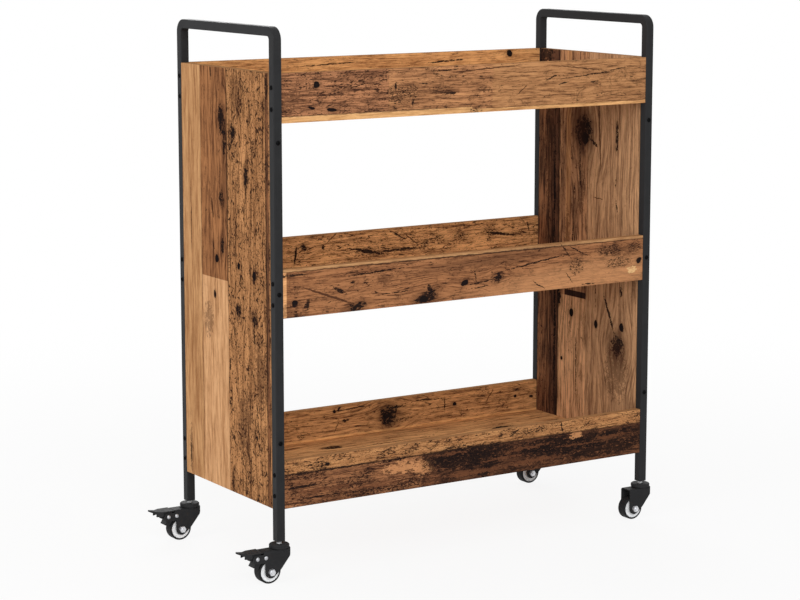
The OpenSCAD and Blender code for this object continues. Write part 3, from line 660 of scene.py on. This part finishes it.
def right_panel_decor():
    """Right panel: dark planks at the back and paler ones with two large knots in front."""
    planks = [
        plank(light=(210, 163, 119), dark=(135, 98, 69), flecks=0.08, cracks=0.2),
        plank(across=(86.7, 160), light=(164, 113, 77), dark=(50, 30, 22),
              flecks=0.3, cracks=0.5, weather=0.35),
        plank(across=(86.7, 113), light=(117, 78, 55), dark=(31, 18, 12),
              flecks=0.4, cracks=0.6, weather=0.45),
        plank(across=(1.6, 86.7), along=(369, 900), light=(201, 148, 105), dark=(98, 67, 47),
              flecks=0.2, cracks=0.4, weather=0.14),
        plank(across=(1.6, 86.7), along=(0, 369), light=(233, 180, 133), dark=(148, 108, 74),
              flecks=0.15, cracks=0.3),
        plank(across=(52, 66), along=(380, 900), light=(206, 153, 104), dark=(139, 95, 61),
              flecks=0.05, cracks=0.1),
        plank(across=(4, 66), along=(369, 380), light=(65, 41, 29), dark=(29, 18, 14),
              flecks=0.1, cracks=0.3),
    ]
    marks = [
        shade((672, 14), (44, 26)), knot((674, 14), (24, 22)),
        crack((684, 14), (2.5, 24), turn=8), hole((660, 10), (11, 10)),
        shade((720, 30), (60, 16)), crack((655, -14), (3, 14), turn=-30),
        shade((288, -90), (38, 24)), knot((298, -92), (19, 16)),
        hole((293, -93), (7, 6)), stain((470, 60), (60, 8)),
        stain((560, 20), (40, 9)), crack((610, 24), (44, 1.6), turn=2),
        crack((480, 44), (26, 1.6), turn=-3), crack((240, 30), (50, 1.4), turn=2),
        crack((420, -24), (60, 1.6), turn=3), hole((339, 45), (7.6, 6)),
        hole((328, -28), (7.6, 5.1)), hole((333, -102), (7.6, 6)),
        crack((352, -66), (34, 3), turn=25), crack((670, -82), (28, 4)),
        crack((566, 40), (10, 2)), crack((590, -80), (9, 1.5)),
        crack((545, -84), (12, 1.5), turn=12), scratch((556, -30), (0.9, 14)),
        crack((398, -100), (12, 3)), stain((250, -88), (50, 30)),
        knot((365, 84), (16, 6)), scratch((700, -30), (90, 2), turn=4),
        hole((250, 74), (3.4, 3.4)), stain((640, 118), (120, 10)),
        char((806, 136), (30, 26)), crack((300, 96), (110, 3)),
        crack((560, 100), (110, 2.5)),
    ]
    seams = [
        Seam(across=86.7, along=(100, 830), width=2.4, strength=0.8),
        Seam(across=1.6, along=(369, 830), width=1.0, strength=0.5),
        Seam(across=1.6, along=(100, 369), width=1.0, strength=0.3),
        Seam(across=118, along=(100, 830), width=3.0, strength=0.5),
        Seam(across=-132, along=(100, 830), width=1.2, strength=0.4),
    ]
    return Board(PANEL, planks, marks, seams)


def top_front_decor():
    """Top front rail: a rough plank over a pale strip, darkest at its left end."""
    planks = [
        plank(light=(190, 137, 90), dark=(127, 84, 52), flecks=0.2, cracks=0.45, weather=0.06),
        plank(across=(735, 830), along=(-400, -131), light=(183, 126, 86), dark=(95, 59, 38),
              flecks=0.7, cracks=0.9, weather=0.28),
        plank(across=(742, 830), along=(-131, 70), light=(194, 137, 91), dark=(110, 70, 44),
              flecks=0.4, cracks=0.7, weather=0.12, torn=True),
        plank(across=(700, 745), along=(-400, 30), light=(232, 180, 122), dark=(178, 126, 77),
              flecks=0.02, cracks=0.05),
        plank(across=(700, 741), along=(30, 500), light=(230, 176, 118), dark=(171, 119, 72),
              flecks=0.02, cracks=0.05),
    ]
    marks = [
        hole((-266, 793), (6, 5)), hole((-276, 757), (6, 2.4), turn=-12),
        hole((-238, 752), (9, 3), turn=-6), cluster((-118, 772), (16, 16)),
        cluster((-90, 774), (16, 10)), crack((-86, 757), (2, 6)),
        crack((-119, 784), (1.4, 8)), crack((-8, 769), (12, 1.6), turn=2),
        crack((-64, 787), (10, 1)), cluster((36, 738), (13, 6)),
        crack((267, 788), (62, 0.8), turn=5), scratch((250, 800), (50, 1), turn=-6),
        crack((190, 786), (12, 1.5), turn=20), crack((280, 776), (8, 1.2)),
        scratch((130, 768), (14, 0.9), turn=35), scratch((60, 806), (70, 1), turn=3),
        crack((-20, 806), (24, 1), turn=4), stain((-330, 770), (40, 16)),
        crack((330, 796), (20, 0.8), turn=8), crack((-190, 788), (14, 1), turn=14),
        crack((215, 776), (10, 1.2), turn=10),
    ]
    seams = [
        Seam(across=745, along=(-400, 30), width=1.2, strength=0.5),
        Seam(across=741, along=(30, 500), width=1.0, strength=0.4),
    ]
    return Board(RAIL, planks, marks, seams)


def middle_front_decor():
    """Middle front rail: one reddish plank with many marks, bleached at its lower right."""
    planks = [
        plank(light=(172, 117, 76), dark=(115, 72, 44), flecks=0.35, cracks=0.5, weather=0.07),
        plank(across=(400, 520), along=(-400, -323), light=(237, 178, 122), dark=(194, 135, 86),
              flecks=0.02, cracks=0.1),
        plank(across=(500, 520), light=(190, 144, 98), dark=(154, 107, 68), flecks=0.1, cracks=0.1),
    ]
    marks = [
        bleach((290, 445), (240, 27), turn=4), hole((382, 462), (6, 5.1), turn=20),
        pale((367, 446), (9, 6), turn=20), knot((83, 458), (9, 6), turn=40),
        hole((16, 454), (7.6, 5.1), turn=25), crack((48, 452), (26, 1.2), turn=6),
        crack((46, 444), (20, 1), turn=4), crack((38, 462), (1.2, 12), turn=10),
        knot((-60, 437), (20, 9), turn=8), hole((-64, 434), (9, 6)),
        crack((-52, 448), (4, 10), turn=20), hole((-308, 449), (5.1, 6)),
        crack((-306, 430), (4, 9)), crack((-286, 444), (4.5, 10), turn=-20),
        crack((-226, 463), (14, 3), turn=-25), scratch((-246, 456), (50, 1.8), turn=-20),
        knot((-192, 434), (16, 7), turn=10), crack((-316, 494), (28, 1.8)),
        crack((-118, 450), (34, 1), turn=2), crack((-158, 487), (50, 1.5), turn=3),
        stain((-138, 474), (14, 9)), shade((75, 489), (120, 8), turn=3),
        crack((-200, 474), (5, 1.5)), crack((160, 476), (80, 1.3), turn=8),
        crack((252, 488), (20, 1.2), turn=-25), crack((225, 490), (18, 1.2), turn=-50),
        stain((340, 484), (50, 10)), cluster((316, 484), (26, 8)),
        cluster((372, 486), (14, 8)), crack((270, 430), (14, 1.2)),
        cluster((338, 462), (30, 9)), cluster((246, 462), (14, 14)),
        crack((232, 444), (12, 1), turn=-50), stain((-320, 434), (30, 14)),
        crack((170, 436), (16, 1), turn=-30),
    ]
    seams = [
        Seam(across=499.5, along=(-400, 420), width=1.2, strength=0.8),
    ]
    return Board(RAIL, planks, marks, seams)


def bottom_front_decor():
    """Bottom front rail: a pale speckled strip over a weathered plank with a charred patch."""
    planks = [
        plank(light=(167, 113, 74), dark=(85, 50, 31), flecks=0.85, cracks=0.9, weather=0.5),
        plank(across=(60, 190), along=(-66, 600), light=(127, 81, 52), dark=(35, 20, 12),
              flecks=0.6, cracks=0.7, weather=0.8, torn=True),
        plank(across=(172.5, 200), light=(197, 142, 91), dark=(146, 96, 57),
              flecks=0.75, cracks=0.6, weather=0.03),
    ]
    marks = [
        crack((-240, 172), (110, 1.2)), crack((-120, 171), (30, 2), turn=4),
        cluster((-190, 150), (24, 6)), cluster((-220, 140), (60, 5), turn=2),
        cluster((-150, 126), (70, 8)), cluster((-74, 140), (34, 12), turn=40),
        cluster((-300, 168), (50, 5)), crack((-300, 150), (30, 2)),
        crack((-265, 130), (40, 1.5)), hole((-250, 181), (4, 3)),
        cluster((-262, 181), (12, 6), turn=20), cluster((-140, 186), (18, 6), turn=20),
        cluster((-88, 185), (20, 5), turn=20), cluster((60, 158), (100, 16)),
        cluster((200, 154), (100, 14)), worn((-98, 157), (46, 9)),
        worn((-66, 150), (22, 9)), char((20, 158), (78, 20)),
        char((66, 134), (26, 12), turn=30), char((220, 152), (84, 17)),
        char((340, 160), (40, 7)), worn((250, 168), (12, 7)),
        rub((96, 146), (40, 2.2), turn=2), rub((40, 130), (60, 4)),
        rub((150, 158), (50, 2.4), turn=3), rub((170, 134), (70, 3)),
        rub((262, 150), (50, 2), turn=-2), rub((300, 138), (60, 3)),
        rub((330, 156), (40, 2.4), turn=2), rub((-250, 140), (50, 4)),
        rub((-160, 134), (40, 3)), rub((-10, 168), (30, 2)),
        crack((220, 184), (1.5, 9), turn=10), cluster((160, 186), (30, 5)),
        crack((120, 187), (10, 2), turn=30), char((312, 137), (96, 12), turn=2),
    ]
    seams = [
        Seam(across=173, along=(-400, 420), width=1.6, strength=0.8),
    ]
    return Board(RAIL, planks, marks, seams)


def top_back_decor():
    """Top back rail: one plank; its tones are the decor's, raised as painted light against the shade inside
    the cart.
    """
    planks = [
        plank(light=(230, 171, 110), dark=(164, 110, 65), flecks=0.15, cracks=0.3, weather=0.03),
    ]
    marks = [
        hole((323, 806), (6, 6)), crack((185, 797), (44, 1.8), turn=3),
        crack((126, 815), (30, 1.2), turn=-3), crack((-260, 796), (20, 2.5)),
        knot((20, 760), (24, 9)), crack((-60, 800), (60, 1.2), turn=2),
    ]
    return Board(RAIL, planks, marks, [])


def middle_back_decor():
    """Middle back rail: one flecked plank; its tones are the decor's, raised as painted light against the
    shade inside the cart.
    """
    planks = [
        plank(light=(234, 174, 114), dark=(146, 99, 61), flecks=0.6, cracks=0.6, weather=0.08),
    ]
    marks = [
        hole((-128, 472), (1.8, 15), turn=-8), knot((-110, 484), (6, 5)),
        crack((-72, 482), (3, 5)), scratch((-48, 502), (22, 1.2), turn=40),
        crack((18, 468), (34, 3), turn=-12), cluster((28, 468), (22, 7), turn=-10),
        crack((88, 466), (40, 2.4), turn=2), scratch((112, 482), (19, 1.3), turn=-38),
        crack((80, 493), (20, 2), turn=-28), cluster((138, 474), (10, 7)),
        cluster((172, 478), (12, 8)), cluster((215, 480), (18, 7)),
        crack((305, 478), (34, 2.5), turn=-8), cluster((282, 484), (12, 9)),
        crack((368, 486), (2, 9), turn=10), stain((-90, 505), (14, 4)),
        crack((-240, 466), (30, 2), turn=6), knot((-290, 470), (9, 6)),
    ]
    return Board(RAIL, planks, marks, [])


def bottom_back_decor():
    """Bottom back rail: a plank with one large knot over a paler one; their tones are the decor's, raised as
    painted light against the shade inside the cart.
    """
    planks = [
        plank(light=(220, 161, 104), dark=(130, 86, 52), flecks=0.3, cracks=0.5, weather=0.12),
        plank(across=(110, 143), light=(241, 183, 117), dark=(187, 131, 79), flecks=0.08, cracks=0.15),
    ]
    marks = [
        shade((66, 168), (24, 22)), knot((62, 166), (15, 17)),
        crack((54, 164), (2, 18), turn=10), crack((78, 172), (1.6, 15), turn=-10),
        crack((84, 180), (14, 2)), cluster((90, 156), (22, 4), turn=6),
        hole((-51, 187), (3.5, 3), turn=30), crack((-42, 190), (5, 2), turn=40),
        crack((-28, 168), (7, 3), turn=10), scratch((-46, 158), (12, 1), turn=60),
        hole((206, 171), (4, 3)), crack((184, 172), (1.2, 14)),
        scratch((284, 178), (14, 1.3), turn=55), hole((342, 170), (3.5, 2.5)),
        hole((378, 166), (4.5, 2.5)), crack((-20, 188), (40, 1.2), turn=3),
        crack((150, 186), (30, 1.5), turn=-3), cluster((-120, 150), (9, 5)),
        crack((-240, 172), (50, 1.5)), crack((-320, 150), (9, 3)),
    ]
    return Board(RAIL, planks, marks, [])


def shelf_decor():
    """The shelves' decor, the same on all three."""
    planks = [
        plank(light=(236, 178, 119), dark=(153, 104, 68), flecks=0.18, cracks=0.3, weather=0.03),
        plank(across=(-150, -62), light=(215, 158, 105), dark=(142, 96, 62),
              flecks=0.28, cracks=0.3, weather=0.04),
        plank(across=(40, 150), light=(235, 178, 118), dark=(160, 112, 72), flecks=0.18, cracks=0.2),
    ]
    marks = [
        crack((-150, -30), (40, 1.5), turn=4), stain((40, -60), (110, 14)),
        crack((180, 10), (60, 1.5), turn=-3), knot((250, 60), (22, 10)),
        crack((20, 70), (90, 1.5), turn=2), hole((-260, 40), (5.1, 4.2)),
        stain((260, -20), (90, 18)), knot((-90, 90), (18, 9)),
        crack((-240, -90), (50, 1.5)),
    ]
    seams = [
        Seam(across=-62, along=(-400, 420), width=1.0, strength=0.5),
        Seam(across=40, along=(-400, 420), width=1.0, strength=0.4),
    ]
    return Board(SHELF, planks, marks, seams)


def dress(node, material):
    """Gives a node one material in all its slots."""
    node.data.materials.clear()
    node.data.materials.append(material)


EDGE_ROUND = 0.5 * MM
EDGE_SEGMENTS = 2
EDGE_ANGLE = math.radians(40)
WELD_DISTANCE = 1e-6


def soften_edges(node):
    """Small round along the sharp edges, so that they catch the light."""
    weld = node.modifiers.new("weld", "WELD")
    weld.merge_threshold = WELD_DISTANCE
    bevel = node.modifiers.new("bevel", "BEVEL")
    bevel.width = EDGE_ROUND
    bevel.segments = EDGE_SEGMENTS
    bevel.limit_method = "ANGLE"
    bevel.angle_limit = EDGE_ANGLE
    bevel.harden_normals = True


def dress_board(node, material):
    dress(node, material)
    soften_edges(node)


def dress_boards(nodes):
    """Each panel and rail has a decor of its own, and the three shelves share one."""
    decors = {
        "left_side_panel": left_panel_decor(),
        "right_side_panel": right_panel_decor(),
        "top_front_rail": top_front_decor(),
        "middle_front_rail": middle_front_decor(),
        "bottom_front_rail": bottom_front_decor(),
        "top_back_rail": top_back_decor(),
        "middle_back_rail": middle_back_decor(),
        "bottom_back_rail": bottom_back_decor(),
    }
    for name, decor in decors.items():
        dress_board(nodes[name], wood(f"wood_{name}", decor))
    shelf_wood = wood("wood_shelf", shelf_decor())
    for name in ("top_shelf", "middle_shelf", "bottom_shelf"):
        dress_board(nodes[name], shelf_wood)


def powder_coat():
    """Matt black coat of the tube frames."""
    return coated("powder_coat", colour(41, 41, 42), peel_size=0.9, roughness=0.5,
                  relief=0.05 * MM, gloss=0.1)


def fork_paint():
    """Black paint of the casters' sheet metal."""
    return coated("fork_paint", colour(46, 46, 47), peel_size=0.7, roughness=0.5,
                  relief=0.02 * MM, gloss=0.04)


def black_plastic():
    """Moulded plastic of the leg plugs and brake shoes."""
    return coated("black_plastic", colour(32, 32, 33), peel_size=0.5, roughness=0.45, relief=0.03 * MM)


def tread_rubber():
    return coated("tread_rubber", RUBBER_BLACK, peel_size=0.6, roughness=RUBBER_ROUGHNESS,
                  relief=0.06 * MM, gloss=0.1)


def screw_black():
    """Blackened steel of the screws, darker than the frame."""
    return coated("screw_black", colour(9, 9, 10), peel_size=0.4, roughness=0.5,
                  relief=0.02 * MM, gloss=0.05)


def zinc_plate():
    """Bright plate of bolts, nuts, locks and balls."""
    return plated("zinc_plate", colour(222, 223, 226), roughness=0.3)


def zinc_thread():
    """Pale plate of the threaded stems."""
    return plated("zinc_thread", colour(240, 241, 243), roughness=0.32, pitch=1.25, metal=0.3)


def zinc_rivet():
    """Duller plate of the brake's pins."""
    return plated("zinc_rivet", colour(188, 189, 192), roughness=0.38)


def dowel_beech():
    return coated("dowel_beech", colour(205, 170, 122), peel_size=1.2, roughness=0.6, relief=0.05 * MM)


def dress_metal_and_plastic(nodes):
    """Materials of the frames, the fittings and the casters, each by the end of a node's name."""
    zinc = zinc_plate()
    plastic = black_plastic()
    paint = fork_paint()
    by_ending = {
        "_frame": powder_coat(),
        "_screws": screw_black(),
        "dowels": dowel_beech(),
        "cam_bolts": zinc,
        "cam_locks": zinc,
        "plug_bushes": zinc,
        "bearing_balls": zinc,
        "leg_plugs": plastic,
        "_bearing_cap": paint,
        "_fork": paint,
        "_pedal": paint,
        "_brake_shoe": plastic,
        "_tyre": tread_rubber(),
        "_stem": zinc_thread(),
        "_pin": zinc_rivet(),
        "_axle_bolt": zinc,
        "_axle_nut": zinc,
    }
    for name, node in nodes.items():
        for ending, material in by_ending.items():
            if name.endswith(ending):
                dress(node, material)


def dress_wheel_cores(nodes):
    """Each wheel core has its own material, because its painted lip runs round its own axle."""
    for name, node in nodes.items():
        if name.endswith("_wheel_core"):
            low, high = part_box(name)
            centre = [(start + end) / 2 for start, end in zip(low, high)]
            dress(node, wheel_white(f"white_{name}", centre))


Lamp = namedtuple("Lamp", "name place target size power")
LAMPS = (
    Lamp("key", place=(-1.5, -3.8, 2.4), target=(0, 0, 0.4), size=3.0, power=116),
    Lamp("side", place=(-4.2, -0.8, 2.0), target=(0, 0, 0.45), size=2.6, power=60),
    Lamp("back", place=(1.6, 3.8, 2.4), target=(0, 0, 0.4), size=3.0, power=80),
)


def hang_lamp(lamp):
    """Large soft lamp that faces its target."""
    light = bpy.data.lights.new(lamp.name, "AREA")
    light.shape = "SQUARE"
    light.size = lamp.size
    light.energy = lamp.power
    holder = bpy.data.objects.new(lamp.name, light)
    holder.location = lamp.place
    aim = Vector(lamp.target) - Vector(lamp.place)
    holder.rotation_euler = aim.to_track_quat("-Z", "Y").to_euler()
    bpy.context.scene.collection.objects.link(holder)


def seen_directly(tree):
    """One for rays from the camera, and for those that gloss or glass sends on."""
    path = tree.nodes.new("ShaderNodeLightPath")
    either = path.outputs["Is Camera Ray"]
    for kind in ("Is Glossy Ray", "Is Transmission Ray"):
        node = tree.nodes.new("ShaderNodeMath")
        node.operation = "MAXIMUM"
        tree.links.new(either, node.inputs[0])
        tree.links.new(path.outputs[kind], node.inputs[1])
        either = node.outputs[0]
    return either


def mix_shaders(tree, factor, first, second, output):
    """Sends a mix of two shader nodes to an output node."""
    mix = tree.nodes.new("ShaderNodeMixShader")
    tree.links.new(factor, mix.inputs["Fac"])
    tree.links.new(first.outputs[0], mix.inputs[1])
    tree.links.new(second.outputs[0], mix.inputs[2])
    tree.links.new(mix.outputs[0], output.inputs["Surface"])


def white_light(tree, kind, strength=1.0):
    """White background or glow, for the world or for a surface."""
    node = tree.nodes.new(kind)
    node.inputs["Color"].default_value = WHITE
    node.inputs["Strength"].default_value = strength
    return node


AMBIENT = 0.48


def set_world():
    """Even light from all round, in front of a backdrop that looks white."""
    world = bpy.data.worlds.new("studio")
    bpy.context.scene.world = world
    world.use_nodes = True
    tree = world.node_tree
    tree.nodes.clear()
    ambient = white_light(tree, "ShaderNodeBackground", AMBIENT)
    backdrop = white_light(tree, "ShaderNodeBackground")
    output = tree.nodes.new("ShaderNodeOutputWorld")
    mix_shaders(tree, seen_directly(tree), ambient, backdrop, output)


FLOOR_HALF = 12.0
FLOOR_TONE = (0.8, 0.8, 0.8, 1)
# The shadow shows near the object, and the floor runs out into the white of the backdrop
GLOW_BY_DISTANCE = Step(0.5, 2.2, 0.88, 1.0)


def floor_white():
    """Pale floor that looks white to the camera and keeps a faint shadow."""
    material = bpy.data.materials.new("floor_white")
    material.use_nodes = True
    tree = material.node_tree
    tree.nodes.clear()
    matt = tree.nodes.new("ShaderNodeBsdfDiffuse")
    matt.inputs["Color"].default_value = FLOOR_TONE
    glow = white_light(tree, "ShaderNodeEmission")
    place = tree.nodes.new("ShaderNodeTexCoord")
    distance = tree.nodes.new("ShaderNodeVectorMath")
    distance.operation = "LENGTH"
    tree.links.new(place.outputs["Object"], distance.inputs[0])
    fade = tree.nodes.new("ShaderNodeMapRange")
    fade.interpolation_type = "SMOOTHSTEP"
    tree.links.new(distance.outputs["Value"], fade.inputs["Value"])
    for socket, value in zip(fade.inputs[1:], GLOW_BY_DISTANCE):
        socket.default_value = value
    share = tree.nodes.new("ShaderNodeMath")
    share.operation = "MULTIPLY"
    tree.links.new(fade.outputs[0], share.inputs[0])
    tree.links.new(seen_directly(tree), share.inputs[1])
    output = tree.nodes.new("ShaderNodeOutputMaterial")
    mix_shaders(tree, share.outputs[0], matt, glow, output)
    return material


def lay_floor():
    """Plain floor under the cart, far larger than the view."""
    mesh = bpy.data.meshes.new("floor")
    signs = ((-1, -1), (1, -1), (1, 1), (-1, 1))
    corners = [(x * FLOOR_HALF, y * FLOOR_HALF, 0) for x, y in signs]
    mesh.from_pydata(corners, [], [(0, 1, 2, 3)])
    mesh.materials.append(floor_white())
    floor = bpy.data.objects.new("floor", mesh)
    bpy.context.scene.collection.objects.link(floor)


# The camera's place and angles, and its lens and sensor in millimetres, as in the photograph
CAMERA_PLACE = (-2.11825, -3.28929, 1.06799)
CAMERA_YAW = 0.570191
CAMERA_PITCH = 0.159524
CAMERA_LENS = 104.383
CAMERA_SENSOR = 36
CAMERA_SHIFT = -0.025
CAMERA_REACH = 60


def place_camera():
    """Camera at the photograph's viewing angle."""
    camera = bpy.data.cameras.new("camera")
    camera.sensor_width = CAMERA_SENSOR
    camera.lens = CAMERA_LENS
    camera.shift_y = CAMERA_SHIFT
    camera.clip_end = CAMERA_REACH
    holder = bpy.data.objects.new("camera", camera)
    holder.location = CAMERA_PLACE
    holder.rotation_euler = (math.pi / 2 - CAMERA_PITCH, 0, -CAMERA_YAW)
    bpy.context.scene.collection.objects.link(holder)
    bpy.context.scene.camera = holder


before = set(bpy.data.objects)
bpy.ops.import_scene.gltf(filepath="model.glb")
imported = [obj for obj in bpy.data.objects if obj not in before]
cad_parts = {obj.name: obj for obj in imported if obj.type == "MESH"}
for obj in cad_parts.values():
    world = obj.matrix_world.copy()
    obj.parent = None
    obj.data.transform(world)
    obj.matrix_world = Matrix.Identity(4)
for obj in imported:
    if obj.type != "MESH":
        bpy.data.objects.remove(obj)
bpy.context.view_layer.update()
bpy.context.scene.view_settings.view_transform = "Standard"
dress_boards(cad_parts)
dress_metal_and_plastic(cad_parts)
dress_wheel_cores(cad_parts)
lay_floor()
set_world()
for item in LAMPS:
    hang_lamp(item)
place_camera()
